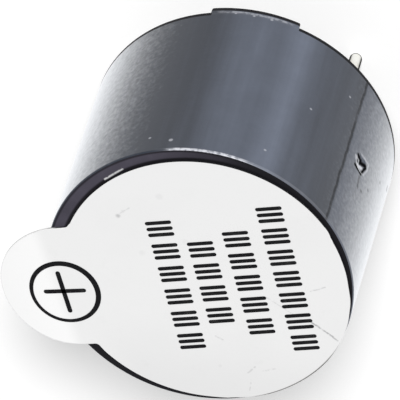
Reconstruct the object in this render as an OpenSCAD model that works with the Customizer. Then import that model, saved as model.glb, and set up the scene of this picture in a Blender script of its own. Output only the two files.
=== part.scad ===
// Sealed magnetic buzzer with its own driver circuit, soldered to a board by two pins.
// The origin is the centre of the seating plane, where the stand-offs touch the board.
// +Z runs to the seal label and +X to the positive pin. Lengths are in millimetres.

/* [Case] */
// Outside diameter of the case
case_d = 12; // [11.6:0.1:14]
// Height of the front face over the seating plane
case_h = 9.35; // [9.2:0.05:12]
// Wall thickness at the mouth, round the circuit board
mouth_wall = 0.6; // [0.4:0.05:0.8]
// Wall thickness round the yoke and the support ring
bore_wall = 0.9; // [0.85:0.05:1.2]
// Wall thickness round the front chamber
chamber_wall = 1.3; // [1.25:0.05:1.6]
// Thickness of the front wall
front_t = 0.8; // [0.5:0.05:1]
// Rounding of the outer front edge
edge_r = 0.1; // [0.05:0.05:0.4]
// Diameter of the sound hole
sound_hole_d = 2.5; // [1.5:0.1:3.5]

/* [Stand-offs] */
// Number of stand-offs on the rim
standoff_count = 3; // [2:1:4]
// Height of a stand-off
standoff_h = 0.3; // [0.2:0.05:0.6]
// Angle that one stand-off covers
standoff_span = 34; // [20:1:50]
// Direction of the first stand-off, from the positive pin
standoff_turn = -111.4; // [-180:0.1:180]

/* [Gate mark] */
// Diameter of the shallow dimple on the side
gate_d = 0.7; // [0.3:0.05:1]
// Depth of the dimple
gate_depth = 0.08; // [0.03:0.01:0.2]
// Direction of the dimple, from the positive pin
gate_turn = -171; // [-180:1:180]
// Height of the dimple over the seating plane
gate_z = 4.44; // [2:0.01:7]

/* [Seal label] */
// Margin of the front edge that the label leaves bare
label_margin = 0.35; // [0.25:0.05:0.6]
// Thickness of the label
label_t = 0.1; // [0.06:0.01:0.2]
// Shift of the label's centre on the front face
label_shift = [-0.17, 0.16];
// Width of the pull tab
tab_w = 5.6; // [3:0.1:7]
// Reach of the pull tab beyond the label's edge
tab_reach = 2.52; // [1.8:0.01:3.5]
// Direction of the tab, from the positive pin
tab_turn = -5.3; // [-30:0.1:30]
// Radius of the gentle bend of the tab, past the front edge
bend_r = 16; // [6:0.5:24]

/* [Diaphragm] */
// Thickness of the diaphragm
diaphragm_t = 0.1; // [0.05:0.01:0.15]
// Diameter of the armature disc
armature_d = 4; // [2.5:0.1:6]
// Thickness of the armature disc
armature_t = 0.35; // [0.2:0.05:0.6]
// Air gap between the pole and the diaphragm
pole_gap = 0.2; // [0.1:0.05:0.4]

/* [Support ring] */
// Height of the support ring
ring_h = 3; // [2.9:0.05:3.3]
// Wall thickness of the support ring
ring_wall = 0.65; // [0.5:0.05:0.9]
// Wall thickness of the lip round the diaphragm
lip_wall = 0.3; // [0.2:0.05:0.4]
// Depth of the diaphragm's seat under the ring's top
seat_depth = 0.35; // [0.2:0.05:0.5]
// Radial play of the diaphragm in its seat
diaphragm_gap = 0.05; // [0.02:0.01:0.1]

/* [Magnet and coil] */
// Height of the ring magnet
magnet_h = 2.5; // [1.5:0.1:2.5]
// Radial thickness of the ring magnet
magnet_wall = 1; // [0.6:0.05:1.1]
// Radial play of the magnet in the support ring
magnet_gap = 0.1; // [0.05:0.01:0.2]
// Diameter of the pole
core_d = 2; // [1.6:0.1:2.6]
// Diameter of the pole's stem in the yoke
stem_d = 1.4; // [1:0.1:1.5]
// Diameter of the stem's riveted head
rivet_d = 2.2; // [1.8:0.1:2.6]
// Height of the riveted head
rivet_h = 0.2; // [0.1:0.05:0.3]
// Outside diameter of the coil
coil_d = 6; // [4:0.1:6.2]
// Height of the coil
coil_h = 2.2; // [1.5:0.1:2.4]
// Rounding of the coil's edges
coil_edge_r = 0.3; // [0.1:0.05:0.5]
// Radial play between the coil and the pole
coil_gap = 0.05; // [0.02:0.01:0.1]

/* [Yoke] */
// Thickness of the yoke plate
yoke_t = 0.8; // [0.6:0.05:1]
// Radial play of the yoke and the ring in the case
bore_gap = 0.03; // [0.01:0.01:0.06]
// Diameter of the yoke's holes for the coil leads
lead_hole_d = 0.6; // [0.4:0.05:0.8]

/* [Coil leads] */
// Diameter of a tinned coil lead
lead_d = 0.14; // [0.08:0.01:0.16]
// Directions of the start, end and sense leads, from the positive pin
lead_turns = [60, 120, 90];
// Bend radius of a lead where it leaves the coil
lead_top_r = 0.15; // [0.12:0.01:0.2]
// Bend radius of a lead where it meets the board
lead_foot_r = 0.3; // [0.2:0.05:0.4]
// Length of a lead's foot on its pad
lead_foot = 0.35; // [0.25:0.05:0.6]
// Height over the yoke at which the leads leave the coil
lead_exit_h = 0.45; // [0.45:0.05:1]

/* [Circuit board] */
// Thickness of the circuit board
board_t = 1; // [0.8:0.1:1.2]
// Radial play of the board in the mouth
board_gap = 0.1; // [0.05:0.01:0.15]
// Room for parts between the board and the yoke
part_room = 1.4; // [1.35:0.05:1.6]
// Thickness of the copper foil
foil_t = 0.04; // [0.03:0.01:0.07]
// Width of a copper track
track_w = 0.35; // [0.2:0.05:0.45]
// Diameter of a coil lead's pad
lead_pad_d = 1; // [0.8:0.1:1.1]
// Margin of a pad round the lead or cap that stands on it
pad_margin = 0.15; // [0.1:0.05:0.2]
// Margin of a pad that its solder leaves bare
solder_margin = 0.1; // [0.05:0.05:0.15]
// Height of the solder on a coil lead
lead_solder_h = 0.35; // [0.25:0.05:0.5]
// Direction of the bend in the supply track, from the positive pin
supply_bend_turn = 30; // [20:1:40]
// Bends of the track from the transistor's collector to the coil's end
collector_bends = [[-1.2, 0.6], [-1.9, 1.7]];
// Bends of the track from the coil's sense lead to the resistor
sense_bends = [[0.8, 2.3], [1.6, 0.9]];
// Bend of the track from the resistor to the transistor's base
base_bends = [[2.2, -3.2]];
// Bends of the track from the transistor's emitter to the negative pin
emitter_bends = [[-2.4, -3.2], [-3.6, -1.6]];

/* [Pins] */
// Distance between the two pins
pin_pitch = 7.6; // [7:0.1:8]
// Diameter of a pin
pin_d = 0.5; // [0.5:0.05:0.7]
// Length of a pin under the seating plane
pin_length = 4.3; // [2:0.1:8]
// Rounding of a pin's tip
pin_tip_r = 0.2; // [0.1:0.05:0.25]
// Extra width of the square shank that is potted and soldered
pin_shank_extra = 0.06; // [0.04:0.02:0.2]
// Height of a pin's top over the board
pin_top_h = 0.7; // [0.55:0.05:0.9]
// Play of a shank's corners in the hole in the board
pin_hole_gap = 0.05; // [0.02:0.01:0.1]
// Width of the copper pad round a pin's hole
pin_pad_ring = 0.35; // [0.25:0.05:0.45]
// Height of the solder round a pin
pin_solder_h = 0.55; // [0.3:0.05:0.8]
// Thickness of the solder at the shank's corners
pin_solder_lip = 0.06; // [0.03:0.01:0.1]

/* [Potting] */
// Depth of the potting's surface in the rim
potting_recess = 0.2; // [0.1:0.05:0.4]
// Thickness of the potting
potting_t = 0.8; // [0.5:0.05:1.2]
// Height that the potting creeps up the case wall
creep_h = 0.09; // [0.05:0.01:0.1]
// Width of the creep
creep_w = 0.45; // [0.2:0.05:0.8]

/* [Driver parts] */
// Length, width and height of the transistor's body
transistor_size = [2.9, 1.3, 0.95];
// Centre of the transistor on the board
transistor_at = [0, -2.2];
// Draft of the transistor's moulded sides
transistor_draft = 0.12; // [0.05:0.01:0.2]
// Gap under the transistor's body
transistor_lift = 0.06; // [0.03:0.01:0.1]
// Thickness of the transistor's leads
gull_t = 0.12; // [0.08:0.01:0.15]
// Width of the transistor's leads
gull_w = 0.4; // [0.3:0.05:0.5]
// Distance from the body's side to the knee of a lead
gull_knee = 0.14; // [0.1:0.01:0.18]
// Distance from the body's side to the heel of a lead
gull_heel = 0.24; // [0.2:0.01:0.28]
// Distance from the body's side to the toe of a lead
gull_reach = 0.55; // [0.45:0.05:0.65]
// Spacing of the two leads on one side
gull_pitch = 1.9; // [1.8:0.1:2]
// Length, width and height of the resistor
resistor_size = [1.6, 0.8, 0.45];
// Centre of the resistor on the board
resistor_at = [2.4, -1.4];
// Length of the resistor's end caps
cap_length = 0.3; // [0.2:0.05:0.4]
// Thickness of the end caps' metal
cap_t = 0.04; // [0.02:0.01:0.06]

/* [Hidden] */
$fn = 96;

// Length that a cutting shape stands past the face that it cuts
past = 1;

// Radii inside the case, from the outside in
case_r = case_d / 2;
mouth_r = case_r - mouth_wall;
bore_r = case_r - bore_wall;
chamber_r = case_r - chamber_wall;
ring_outer_r = bore_r - bore_gap;
ring_inner_r = ring_outer_r - ring_wall;
diaphragm_r = ring_outer_r - lip_wall - diaphragm_gap;
magnet_r = ring_inner_r - magnet_gap;
core_r = core_d / 2;
coil_r = coil_d / 2;
board_r = mouth_r - board_gap;

// Heights, from the seating plane up
potting_z = standoff_h + potting_recess;
board_z = potting_z + potting_t;
board_top = board_z + board_t;
foil_top = board_top + foil_t;
yoke_z = board_top + part_room;
yoke_top = yoke_z + yoke_t;
ring_top = yoke_top + ring_h;
seat_z = ring_top - seat_depth;
pole_top = seat_z - pole_gap;
chamber_top = case_h - front_t;

// Leads of the coil
lead_r = coil_r + lead_top_r;
lead_floor = foil_top + lead_d / 2;
lead_bend_r = lead_r + lead_foot_r;
lead_pad_r = lead_bend_r + lead_foot;

// Pins
pin_r = pin_d / 2;
pin_shank_w = pin_d + pin_shank_extra;
pin_corner_r = pin_shank_w / sqrt(2);
pin_hole_r = pin_corner_r + pin_hole_gap;
pin_pad_r = pin_hole_r + pin_pad_ring;
pin_x = pin_pitch / 2;

// Transistor leads, seen along the board
gull_mid = transistor_lift + transistor_size.z / 2;
gull_foot = gull_reach - gull_heel;
toe_y = transistor_size.y / 2 + gull_reach;
foot_y = toe_y - gull_foot / 2;
base_foot = transistor_at + [gull_pitch / 2, -foot_y];
emitter_foot = transistor_at + [-gull_pitch / 2, -foot_y];
collector_foot = transistor_at + [0, foot_y];

// Resistor, which lies along Y
resistor_end = (resistor_size.x - cap_length) / 2;
resistor_low = resistor_at - [0, resistor_end];
resistor_high = resistor_at + [0, resistor_end];

// A point of the board at a radius and a direction
function polar(radius, turn) = [radius * cos(turn), radius * sin(turn)];

// A ring that stands on a height
module tube(outer_r, inner_r, height) {
  difference() {
    cylinder(r = outer_r, h = height);
    translate([0, 0, -past]) cylinder(r = inner_r, h = height + 2 * past);
  }
}

// Outer profile of the case, with the rounded front edge
module case_outline() {
  translate([0, standoff_h]) square([case_r - edge_r, case_h - standoff_h]);
  translate([0, standoff_h]) square([case_r, case_h - edge_r - standoff_h]);
  translate([case_r - edge_r, case_h - edge_r]) circle(edge_r);
}

// Stepped bore: mouth for the board, bore for the yoke and ring, front chamber, sound hole
module case_bore() {
  translate([-past, -past]) square([mouth_r + past, board_top + past]);
  translate([-past, -past]) square([bore_r + past, ring_top + past]);
  translate([-past, -past]) square([chamber_r + past, chamber_top + past]);
  translate([-past, -past]) square([sound_hole_d / 2 + past, case_h + 2 * past]);
}

// One raised arc of the rim, which stands on the board
module standoff() {
  rotate(-standoff_span / 2)
    rotate_extrude(angle = standoff_span)
      translate([mouth_r, 0]) square([mouth_wall, standoff_h + mouth_wall]);
}

// Ball that leaves the shallow gate dimple
module gate_dimple() {
  ball_r = (gate_d * gate_d / 4 + gate_depth * gate_depth) / (2 * gate_depth);
  rotate(gate_turn)
    translate([case_r + ball_r - gate_depth, 0, gate_z]) sphere(ball_r);
}

module case() {
  color("#2c2f36")
    difference() {
      union() {
        rotate_extrude()
          difference() {
            case_outline();
            case_bore();
          }
        for (i = [0 : standoff_count - 1])
          rotate(standoff_turn + i * 360 / standoff_count) standoff();
      }
      gate_dimple();
    }
}

// Outline of the pull tab, with a half-round end
module tab_outline() {
  end_x = case_r - label_margin + tab_reach - tab_w / 2;
  translate([0, -tab_w / 2]) square([end_x, tab_w]);
  translate([end_x, 0]) circle(d = tab_w);
}

// Sheet that is flat on the front face and bends down past the case's flat edge
module bent_sheet() {
  flat_r = case_r - edge_r;
  wide = 4 * case_r;
  translate([-case_r, -wide / 2, 0]) cube([case_r + flat_r, wide, label_t]);
  translate([flat_r, 0, -bend_r])
    intersection() {
      rotate([90, 0, 0])
        translate([0, 0, -wide / 2]) tube(bend_r + label_t, bend_r, wide);
      translate([0, -wide / 2, 0]) cube([wide, wide, wide]);
    }
}

module seal_label() {
  color("#f0f0ee")
    translate([0, 0, case_h]) {
      translate(label_shift) cylinder(r = case_r - label_margin, h = label_t);
      intersection() {
        translate([0, 0, -bend_r])
          linear_extrude(bend_r + 2 * label_t)
            translate(label_shift) rotate(tab_turn) tab_outline();
        rotate(tab_turn) bent_sheet();
      }
    }
}

module diaphragm() {
  color("#b9bcc0")
    translate([0, 0, seat_z]) cylinder(r = diaphragm_r, h = diaphragm_t);
}

module armature_disc() {
  color("#8d9094")
    translate([0, 0, seat_z + diaphragm_t]) cylinder(d = armature_d, h = armature_t);
}

// Ring that stands on the yoke, stops under the front chamber and seats the diaphragm
module support_ring() {
  color("#c3c5c7")
    difference() {
      translate([0, 0, yoke_top]) tube(ring_outer_r, ring_inner_r, ring_h);
      translate([0, 0, seat_z]) cylinder(r = diaphragm_r + diaphragm_gap, h = seat_depth + past);
    }
}

module ring_magnet() {
  color("#3b3a3c")
    translate([0, 0, yoke_top]) tube(magnet_r, magnet_r - magnet_wall, magnet_h);
}

// Pole with its stem riveted under the yoke
module pole_core() {
  color("#96999d") {
    translate([0, 0, yoke_top]) cylinder(r = core_r, h = pole_top - yoke_top);
    translate([0, 0, yoke_z]) cylinder(d = stem_d, h = yoke_t);
    translate([0, 0, yoke_z - rivet_h]) cylinder(d1 = stem_d, d2 = rivet_d, h = rivet_h);
  }
}

module yoke_plate() {
  color("#a3a6a9")
    translate([0, 0, yoke_z])
      difference() {
        cylinder(r = ring_outer_r, h = yoke_t);
        translate([0, 0, -past]) cylinder(d = stem_d, h = yoke_t + 2 * past);
        for (turn = lead_turns)
          rotate(turn)
            translate([lead_r, 0, -past]) cylinder(d = lead_hole_d, h = yoke_t + 2 * past);
      }
}

// Bonded winding with rounded edges
module coil_winding() {
  color("#b4552d")
    translate([0, 0, yoke_top])
      rotate_extrude() {
        inner_r = core_r + coil_gap;
        translate([inner_r, 0]) square([coil_r - coil_edge_r - inner_r, coil_h]);
        translate([inner_r, coil_edge_r]) square([coil_r - inner_r, coil_h - 2 * coil_edge_r]);
        for (z = [coil_edge_r, coil_h - coil_edge_r])
          translate([coil_r - coil_edge_r, z]) circle(coil_edge_r);
      }
}

// Quarter bend of a lead, about an axis along Y
module lead_bend(bend_radius) {
  rotate([90, 0, 0])
    rotate_extrude(angle = 90) translate([bend_radius, 0]) circle(d = lead_d);
}

// Coil lead: out of the winding, down through the yoke and along its pad
module coil_lead(turn) {
  bend_z = yoke_top + lead_exit_h - lead_top_r;
  foot_z = lead_floor + lead_foot_r;
  color("#c8743c")
    rotate(turn) {
      translate([coil_r, 0, bend_z]) lead_bend(lead_top_r);
      translate([lead_r, 0, foot_z]) cylinder(d = lead_d, h = bend_z - foot_z);
      translate([lead_bend_r, 0, foot_z]) rotate([0, 180, 0]) lead_bend(lead_foot_r);
      translate([lead_bend_r, 0, lead_floor])
        rotate([0, 90, 0]) cylinder(d = lead_d, h = lead_foot);
    }
}

module coil_lead_start() {
  coil_lead(lead_turns[0]);
}

module coil_lead_end() {
  coil_lead(lead_turns[1]);
}

module coil_lead_sense() {
  coil_lead(lead_turns[2]);
}

// Repeats a shape at both pins
module at_pins() {
  for (side = [-1, 1])
    translate([side * pin_x, 0, 0]) children();
}

// Square shank of a pin, from a height up
module pin_shank(low, high) {
  translate([0, 0, low])
    linear_extrude(high - low) square(pin_shank_w, center = true);
}

module circuit_board() {
  color("#2f6b46")
    difference() {
      translate([0, 0, board_z]) cylinder(r = board_r, h = board_t);
      at_pins() cylinder(r = pin_hole_r, h = board_top + past);
    }
}

// Flat track through a list of points, with round joints
module track(points) {
  for (i = [1 : len(points) - 1]) {
    run = points[i] - points[i - 1];
    translate(points[i - 1])
      rotate(atan2(run.y, run.x)) translate([0, -track_w / 2]) square([norm(run), track_w]);
  }
  for (p = points)
    translate(p) circle(d = track_w);
}

module pad(centre, size) {
  translate(centre) square(size, center = true);
}

// Copper of the driver circuit: supply, collector, emitter and base
module copper_tracks() {
  gull_pad = [gull_w + 2 * pad_margin, gull_foot + 2 * pad_margin];
  chip_pad = [resistor_size.y + pad_margin, cap_length + 2 * pad_margin];
  pads = [for (turn = lead_turns) polar(lead_pad_r, turn)];
  plus = [pin_x, 0];
  minus = [-pin_x, 0];
  color("#c77f45")
    difference() {
      translate([0, 0, board_top])
        linear_extrude(foil_t) {
          for (p = pads)
            translate(p) circle(d = lead_pad_d);
          for (p = [plus, minus])
            translate(p) circle(pin_pad_r);
          for (p = [base_foot, emitter_foot, collector_foot])
            pad(p, gull_pad);
          for (p = [resistor_low, resistor_high])
            pad(p, chip_pad);
          track([plus, polar(lead_pad_r, supply_bend_turn), pads[0]]);
          track(concat([collector_foot], collector_bends, [pads[1]]));
          track(concat([pads[2]], sense_bends, [resistor_high]));
          track(concat([resistor_low], base_bends, [base_foot]));
          track(concat([emitter_foot], emitter_bends, [minus]));
        }
      at_pins() cylinder(r = pin_hole_r, h = foil_top + past);
    }
}

// Moulded body, widest at the height of its leads
module driver_transistor() {
  size = transistor_size;
  narrow = [size.x - 2 * transistor_draft, size.y - 2 * transistor_draft];
  skin = 0.01;
  color("#222224")
    translate([transistor_at.x, transistor_at.y, foil_top + transistor_lift])
      hull() {
        linear_extrude(skin) square(narrow, center = true);
        translate([0, 0, (size.z - gull_t) / 2])
          linear_extrude(gull_t) square([size.x, size.y], center = true);
        translate([0, 0, size.z - skin])
          linear_extrude(skin) square(narrow, center = true);
      }
}

// Bent strip from the body's side to its pad
module gull_wing() {
  half_t = gull_t / 2;
  rotate([90, 0, 90])
    linear_extrude(gull_w, center = true)
      polygon([
        [0, gull_mid + half_t], [gull_knee + half_t, gull_mid + half_t],
        [gull_heel + half_t, gull_t], [gull_reach, gull_t],
        [gull_reach, 0], [gull_heel - half_t, 0],
        [gull_knee - half_t, gull_mid - half_t], [0, gull_mid - half_t]
      ]);
}

module transistor_leads() {
  side_y = transistor_size.y / 2;
  color("#c9cbcd")
    translate([transistor_at.x, transistor_at.y, foil_top]) {
      translate([0, side_y, 0]) gull_wing();
      for (side = [-1, 1])
        translate([side * gull_pitch / 2, -side_y, 0]) rotate(180) gull_wing();
    }
}

// Ceramic core of the resistor, inset in its end caps
module resistor_core() {
  size = resistor_size - 2 * [cap_t, cap_t, cap_t];
  translate([0, 0, cap_t + size.z / 2]) cube(size, center = true);
}

module base_resistor() {
  color("#e6e2d8")
    translate([resistor_at.x, resistor_at.y, foil_top]) rotate(90) resistor_core();
}

module resistor_caps() {
  color("#cfd0d2")
    translate([resistor_at.x, resistor_at.y, foil_top])
      rotate(90)
        difference() {
          for (side = [-1, 1])
            translate([side * resistor_end, 0, resistor_size.z / 2])
              cube([cap_length, resistor_size.y, resistor_size.z], center = true);
          resistor_core();
        }
}

// Half of a pin's section under the potting, with the rounded tip at zero height
module pin_outline(length) {
  square([pin_r - pin_tip_r, length]);
  translate([0, pin_tip_r]) square([pin_r, length - pin_tip_r]);
  intersection() {
    translate([pin_r - pin_tip_r, pin_tip_r]) circle(pin_tip_r);
    square([pin_r, length]);
  }
}

// Round pin with a rounded tip, and the square shank in potting, board and solder
module pin() {
  color("#c6c8ca") {
    translate([0, 0, -pin_length]) rotate_extrude() pin_outline(pin_length + potting_z);
    pin_shank(potting_z, board_top + pin_top_h);
  }
}

module positive_pin() {
  translate([pin_x, 0, 0]) pin();
}

module negative_pin() {
  translate([-pin_x, 0, 0]) pin();
}

// Cone of solder between a pin's pad and its shank
module pin_solder() {
  color("#b9bbbd")
    difference() {
      translate([0, 0, foil_top])
        cylinder(r1 = pin_pad_r - solder_margin, r2 = pin_corner_r + pin_solder_lip,
                 h = pin_solder_h);
      pin_shank(board_top - past, foil_top + pin_solder_h + past);
    }
}

module positive_solder() {
  translate([pin_x, 0, 0]) pin_solder();
}

module negative_solder() {
  translate([-pin_x, 0, 0]) pin_solder();
}

// Low domes of solder that hold the coil leads to their pads
module lead_solder() {
  dome_r = lead_pad_d / 2 - solder_margin;
  ball_r = (dome_r * dome_r + lead_solder_h * lead_solder_h) / (2 * lead_solder_h);
  color("#b9bbbd")
    for (turn = lead_turns)
      difference() {
        rotate(turn)
          translate([lead_pad_r, 0, foil_top])
            intersection() {
              cylinder(r = dome_r, h = lead_solder_h);
              translate([0, 0, lead_solder_h - ball_r]) sphere(ball_r);
            }
        coil_lead(turn);
      }
}

// Potting under the board, which creeps up the case wall and closes round the pins
module epoxy_seal() {
  color("#1d1d20")
    difference() {
      translate([0, 0, potting_z]) cylinder(r = mouth_r, h = potting_t);
      at_pins() pin_shank(potting_z - past, board_z + past);
    }
  color("#1d1d20")
    rotate_extrude()
      translate([mouth_r, potting_z])
        polygon([
          [0, 0], [-creep_w, 0],
          for (i = [1 : 5])
            [-creep_w * (1 - i / 5), -creep_h * (i / 5) * (i / 5)]
        ]);
}

case();
seal_label();
diaphragm();
armature_disc();
support_ring();
ring_magnet();
pole_core();
yoke_plate();
coil_winding();
coil_lead_start();
coil_lead_end();
coil_lead_sense();
circuit_board();
copper_tracks();
driver_transistor();
transistor_leads();
base_resistor();
resistor_caps();
positive_pin();
negative_pin();
positive_solder();
negative_solder();
lead_solder();
epoxy_seal();
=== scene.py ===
"""Looks of a sealed magnetic buzzer: moulded case, pull-off seal with its print, pins, potting.

The classes hold their sizes in millimetres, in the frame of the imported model, and angles in
degrees from the positive pin. Meshes are written in metres.
"""

import logging
import math
from collections.abc import Callable, Mapping, Sequence
from dataclasses import dataclass
from enum import Enum
from typing import Any

import bmesh
import bpy
from mathutils import Matrix, Vector, noise


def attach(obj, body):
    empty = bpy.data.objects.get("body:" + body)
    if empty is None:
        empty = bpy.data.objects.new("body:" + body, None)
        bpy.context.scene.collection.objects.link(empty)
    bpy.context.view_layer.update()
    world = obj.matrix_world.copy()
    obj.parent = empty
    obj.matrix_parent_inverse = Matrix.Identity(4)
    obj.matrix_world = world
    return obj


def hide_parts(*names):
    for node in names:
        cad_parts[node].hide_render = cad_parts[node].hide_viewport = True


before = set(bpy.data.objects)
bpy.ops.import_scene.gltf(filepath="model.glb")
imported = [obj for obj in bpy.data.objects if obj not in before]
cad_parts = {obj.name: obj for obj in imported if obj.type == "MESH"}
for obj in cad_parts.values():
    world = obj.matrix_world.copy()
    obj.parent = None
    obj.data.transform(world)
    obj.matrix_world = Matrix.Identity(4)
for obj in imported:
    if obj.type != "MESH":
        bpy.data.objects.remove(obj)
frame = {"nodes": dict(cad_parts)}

MM = 0.001
ROOT = "root"
CASE_R = 6.0
FACING = -121.6

Triple = tuple[float, float, float]
Colour = Triple
Point = tuple[float, float]
Socket = bpy.types.NodeSocket
Material = bpy.types.Material
Mesh = bmesh.types.BMesh

log = logging.getLogger("buzzer")


def operator(
    operation: str, swapped: bool = False
) -> Callable[["Signal", "Signal | float"], "Signal"]:
    """Makes the method that adds the Math node of an operation, with its numbers swapped or not."""

    def method(self: "Signal", other: "Signal | float") -> "Signal":
        """Adds the Math node."""
        pair = (other, self) if swapped else (self, other)
        return self.graph.math(operation, *pair)

    return method


class Signal:
    """A number that varies over a surface. Python arithmetic on it adds Math nodes."""

    __add__ = __radd__ = operator("ADD")
    __sub__ = operator("SUBTRACT")
    __rsub__ = operator("SUBTRACT", swapped=True)
    __mul__ = __rmul__ = operator("MULTIPLY")
    __truediv__ = operator("DIVIDE")
    __pow__ = operator("POWER")
    most = operator("MAXIMUM")
    least = operator("MINIMUM")

    def __init__(self, graph: "Graph", socket: Socket) -> None:
        """Wraps one output socket of a graph."""
        self.graph = graph
        self.socket = socket

    def __abs__(self) -> "Signal":
        """Distance from zero."""
        return self.graph.math("ABSOLUTE", self)


Feed = Signal | Socket | float | Sequence[float]


class Graph:
    """Nodes of one material, or of the world, added through a single method."""

    def __init__(self, name: str, tree: bpy.types.NodeTree | None = None) -> None:
        """Starts a new material, or clears a tree that is there."""
        if tree is None:
            self.material = bpy.data.materials.new(name)
            self.material.use_nodes = True
            tree = self.material.node_tree
        self.tree = tree
        self.tree.nodes.clear()

    def node(
        self,
        kind: str,
        settings: Mapping[str, Any] | None = None,
        inputs: Mapping[str | int, Feed] | None = None,
    ) -> bpy.types.Node:
        """Adds a node, sets it and feeds it.

        Args:
            kind: the node's type.
            settings: properties to set first; "stops" are a ramp's (place, colour) pairs.
            inputs: values or links, by socket name or number.

        Returns:
            The new node.
        """
        node = self.tree.nodes.new(kind)
        for name, value in (settings or {}).items():
            if name == "stops":
                self._set_stops(node.color_ramp, value)
            else:
                setattr(node, name, value)
        for key, value in (inputs or {}).items():
            self._feed(node.inputs[key], value)
        return node

    def _feed(self, socket: Socket, value: Feed) -> None:
        """Links a socket to another one, or sets its value."""
        source = value.socket if isinstance(value, Signal) else value
        if isinstance(source, Socket):
            self.tree.links.new(source, socket)
        elif socket.type == "RGBA":
            socket.default_value = (*source[:3], 1.0)
        else:
            socket.default_value = source

    @staticmethod
    def _set_stops(ramp: bpy.types.ColorRamp, stops: Sequence[tuple[float, Colour]]) -> None:
        """Gives a ramp its stops."""
        while len(ramp.elements) < len(stops):
            ramp.elements.new(0.5)
        for element, (place, colour) in zip(ramp.elements, stops):
            element.position = place
            element.color = (*colour, 1.0)

    def math(self, operation: str, *values: Signal | float) -> Signal:
        """Adds a Math node on one or two numbers."""
        node = self.node("ShaderNodeMath", {"operation": operation}, dict(enumerate(values)))
        return Signal(self, node.outputs[0])

    def place(self) -> Socket:
        """Position on the part, in millimetres."""
        source = self.node("ShaderNodeTexCoord").outputs["Object"]
        settings = {"operation": "SCALE"}
        inputs = {0: source, "Scale": 1 / MM}
        return self.node("ShaderNodeVectorMath", settings, inputs).outputs[0]

    def stretched(self, vector: Socket, by: Sequence[float]) -> Socket:
        """A position with each axis scaled."""
        node = self.node("ShaderNodeVectorMath", {"operation": "MULTIPLY"}, {0: vector, 1: by})
        return node.outputs[0]

    def axes(self, vector: Socket) -> tuple[Signal, Signal, Signal]:
        """The three parts of a vector."""
        outputs = self.node("ShaderNodeSeparateXYZ", None, {0: vector}).outputs
        return tuple(Signal(self, output) for output in outputs)

    def joined(self, x: Signal | float, y: Signal | float, z: Signal | float) -> Socket:
        """A vector from three numbers."""
        return self.node("ShaderNodeCombineXYZ", None, {0: x, 1: y, 2: z}).outputs[0]

    def noise(
        self, vector: Socket, per_mm: float, detail: float = 3.0, roughness: float = 0.5
    ) -> Signal:
        """Soft noise from 0 to 1, with so many blobs in a millimetre and layers of finer noise."""
        inputs = {"Vector": vector, "Scale": per_mm, "Detail": detail, "Roughness": roughness}
        return Signal(self, self.node("ShaderNodeTexNoise", None, inputs).outputs[0])

    def cells(self, vector: Socket, per_mm: float) -> Signal:
        """Distance to the nearest of scattered points, in cell widths."""
        node = self.node("ShaderNodeTexVoronoi", None, {"Vector": vector, "Scale": per_mm})
        return Signal(self, node.outputs["Distance"])

    def fade(self, value: Signal, low: float, high: float) -> Signal:
        """Smooth step from 0 at low to 1 at high, either way round."""
        if low > high:
            return 1 - self.fade(value, high, low)
        settings = {"interpolation_type": "SMOOTHSTEP"}
        node = self.node("ShaderNodeMapRange", settings, {0: value, 1: low, 2: high})
        return Signal(self, node.outputs[0])

    def ramp(self, value: Signal, stops: Sequence[Point]) -> Signal:
        """Curve through (place, height) stops, with places and heights from 0 to 1."""
        greys = [(place, (height, height, height)) for place, height in stops]
        node = self.node("ShaderNodeValToRGB", {"stops": greys}, {0: value})
        return Signal(self, node.outputs[0])

    def tint(self, factor: Signal | float, low: Feed, high: Feed) -> Socket:
        """Colour between low and high."""
        node = self.node("ShaderNodeMix", {"data_type": "RGBA"}, {0: factor, 6: low, 7: high})
        return node.outputs[2]

    def blend(self, factor: Feed, low: Socket, high: Socket) -> Socket:
        """Shader between low and high."""
        return self.node("ShaderNodeMixShader", None, {0: factor, 1: low, 2: high}).outputs[0]

    def facing(self) -> Signal:
        """0 on a face seen straight on, up to 1 on one seen from its edge."""
        return Signal(self, self.node("ShaderNodeLayerWeight", None, {0: 0.5}).outputs["Facing"])

    def spot(self, x: Signal, y: Signal, centre: Point, radius: float, soft: float) -> Signal:
        """Round mask, 1 inside, with half its edge's width on each side of the radius."""
        return self.fade(away_from(x, y, centre), radius + soft, radius - soft)

    def stroke(
        self, x: Signal, y: Signal, start: Point, end: Point, half: float, soft: float
    ) -> Signal:
        """Mask of a straight stroke with round ends, from half its width and half its edge's."""
        run_x, run_y = end[0] - start[0], end[1] - start[1]
        from_x, from_y = x - start[0], y - start[1]
        along = (from_x * run_x + from_y * run_y) / (run_x**2 + run_y**2)
        along = along.most(0).least(1)
        away = ((from_x - along * run_x) ** 2 + (from_y - along * run_y) ** 2) ** 0.5
        return self.fade(away, half + soft, max(half - soft, 0.0))

    def bump(self, height: Signal, depth_mm: float, strength: float = 1.0) -> Socket:
        """Normal from a height of 0 to 1 that stands for a depth in millimetres."""
        inputs = {"Height": height, "Distance": depth_mm * MM, "Strength": strength}
        return self.node("ShaderNodeBump", None, inputs).outputs[0]

    def principled(self, **inputs: Feed) -> Socket:
        """Principled shader, with socket names written with underscores."""
        named = {name.replace("_", " "): value for name, value in inputs.items()}
        return self.node("ShaderNodeBsdfPrincipled", None, named).outputs[0]

    def finish(self, shader: Socket) -> Material:
        """Links the shader to the material's output."""
        self.node("ShaderNodeOutputMaterial", None, {"Surface": shader})
        return self.material


def away_from(x: Signal, y: Signal, centre: Point) -> Signal:
    """Distance from a point."""
    return ((x - centre[0]) ** 2 + (y - centre[1]) ** 2) ** 0.5


def unrolled(graph: Graph, place: Socket) -> tuple[Signal, Signal]:
    """Millimetres round the case's side, from the direction that faces the camera, and up it."""
    x, y, z = graph.axes(place)
    c, s = math.cos(math.radians(FACING)), math.sin(math.radians(FACING))
    turn = graph.math("ARCTAN2", y * c - x * s, x * c + y * s)
    return turn * CASE_R, z


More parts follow.
